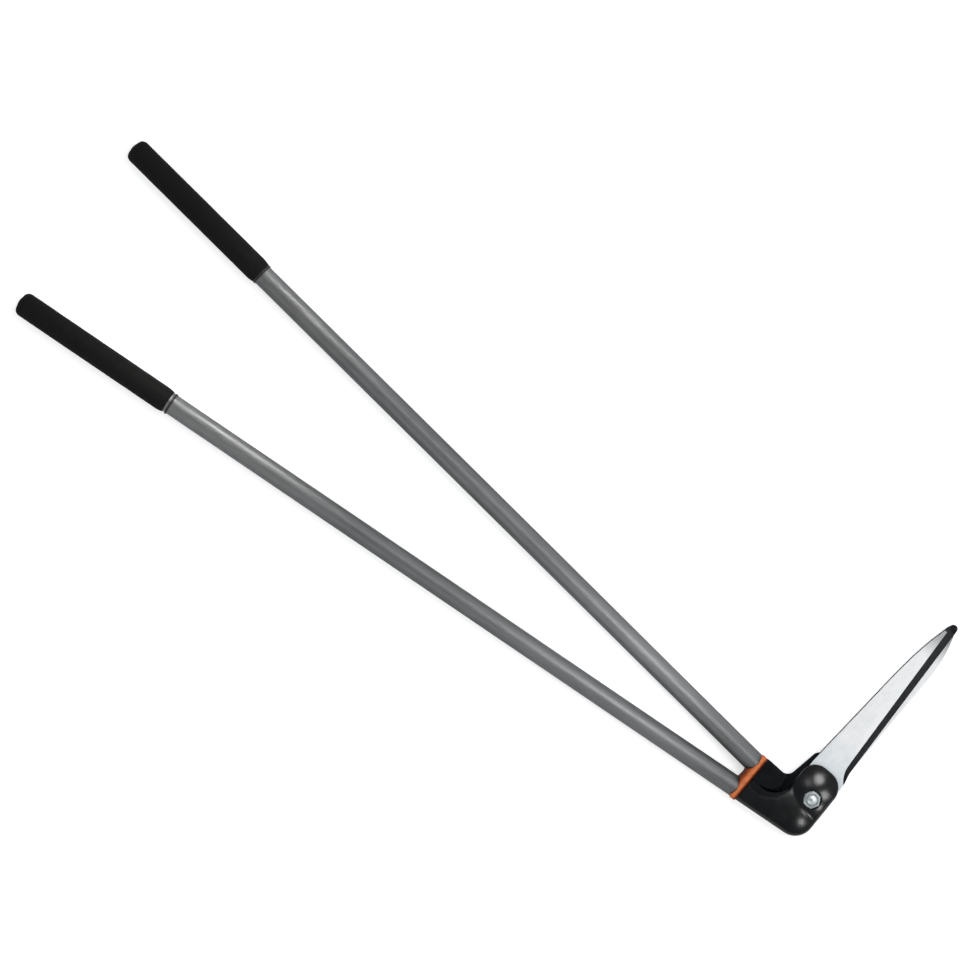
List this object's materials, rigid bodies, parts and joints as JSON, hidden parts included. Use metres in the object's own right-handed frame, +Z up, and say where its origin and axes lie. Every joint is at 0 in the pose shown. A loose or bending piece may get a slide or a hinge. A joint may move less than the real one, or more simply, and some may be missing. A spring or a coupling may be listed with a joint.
{
  "type": "long handled edging shears",
  "caption": "Garden shears with long straight handles set square to the blades: two crossed levers on one pivot, foam grips, moulded holders and bevelled steel blades.",
  "frame": {"origin": "middle of the pivot bolt's flat head face, on the pivot axis and level with the underside of the head", "axes": "+Z up along the pivot axis to the nut, +X along the closed blades to their tips, +Y from the pivot towards the grips"},
  "size_m": [0.3751, 0.9858, 0.0357],
  "materials": {
    "tube": "satin",
    "foam": "matte foam",
    "ring": "matte",
    "plug": "matte",
    "holder": "semi-gloss",
    "collar": "satin",
    "blade": "bright, dark ground bevel",
    "zinc": "zinc plated",
    "nylon": "matte"
  },
  "bodies": {
    "rear_lever": {"rear_tube": "tube", "rear_grip": "foam", "rear_grip_ring": "ring", "rear_tube_plug": "plug", "rear_tube_screw": "zinc", "rear_collar": "collar", "rear_holder": "holder", "rear_blade": "blade", "rear_blade_screw_1": "zinc", "rear_blade_screw_2": "zinc", "pivot_bolt": "zinc", "pivot_bush": "zinc", "blade_washer": "nylon", "nut_washer": "zinc", "pivot_nut": "zinc", "nut_insert": "nylon"},
    "front_lever": {"front_tube": "tube", "front_grip": "foam", "front_grip_ring": "ring", "front_tube_plug": "plug", "front_tube_screw": "zinc", "front_collar": "collar", "front_holder": "holder", "front_blade": "blade", "front_blade_screw_1": "zinc", "front_blade_screw_2": "zinc"}
  },
  "joints": [
    {"name": "lever_pivot", "type": "hinge", "parent": "rear_lever", "child": "front_lever", "pos_m": [0, 0, 0.013], "axis": [0, 0, 1], "range_deg": [0, 34]}
  ]
}
